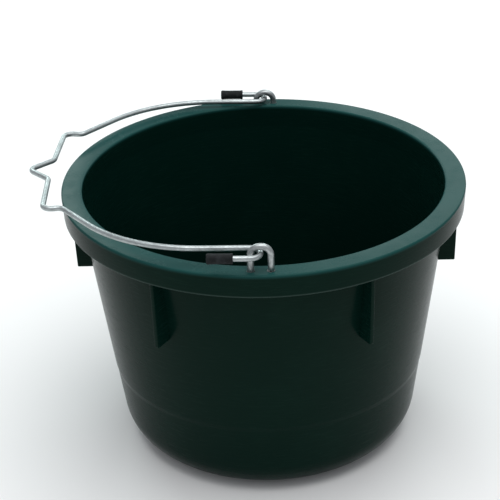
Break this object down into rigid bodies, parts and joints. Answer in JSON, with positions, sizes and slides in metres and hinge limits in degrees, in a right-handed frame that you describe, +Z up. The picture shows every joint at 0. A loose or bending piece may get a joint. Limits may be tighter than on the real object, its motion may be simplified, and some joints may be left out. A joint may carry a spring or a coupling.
{
  "type": "feed bucket",
  "caption": "Round moulded plastic feed bucket with a box-section rim, gussets under the rim, two loose wire eyes and a swinging wire bail with rubber-capped hooks.",
  "frame": {"origin": "centre of the base's underside, on the surface that the bucket stands on", "axes": "+Z up; the two eyes stand on the rim at -Y (front) and +Y (back); the bail lies over the -X side at rest"},
  "size_m": [0.4096, 0.3888, 0.2875],
  "materials": {
    "shell_plastic": "dark green polyethylene, smooth and shiny, lightly scuffed",
    "bail_wire": "galvanised wire, light silver grey",
    "eye_rod": "galvanised rod, dull silver grey",
    "fastener_zinc": "zinc plated, dull",
    "cap_rubber": "dark grey rubber, matt"
  },
  "bodies": {
    "bucket": {"bucket_shell": "shell_plastic"},
    "front_eye": {"front_eye": "eye_rod", "front_left_washer": "fastener_zinc", "front_left_nut": "fastener_zinc", "front_right_washer": "fastener_zinc", "front_right_nut": "fastener_zinc"},
    "back_eye": {"back_eye": "eye_rod", "back_left_washer": "fastener_zinc", "back_left_nut": "fastener_zinc", "back_right_washer": "fastener_zinc", "back_right_nut": "fastener_zinc"},
    "bail": {"bail_handle": "bail_wire", "front_hook_cap": "cap_rubber", "back_hook_cap": "cap_rubber"}
  },
  "joints": [
    {"name": "bail_swing", "type": "hinge", "parent": "bucket", "child": "bail", "pos_m": [0, 0, 0.2723], "axis": [0, 0.9995, -0.0323], "range_deg": [0, 178.6]},
    {"name": "front_eye_lift", "type": "slide", "parent": "bucket", "child": "front_eye", "axis": [0, 0, 1], "range_m": [0, 0.001]},
    {"name": "back_eye_lift", "type": "slide", "parent": "bucket", "child": "back_eye", "axis": [0, 0, 1], "range_m": [0, 0.0129]}
  ]
}
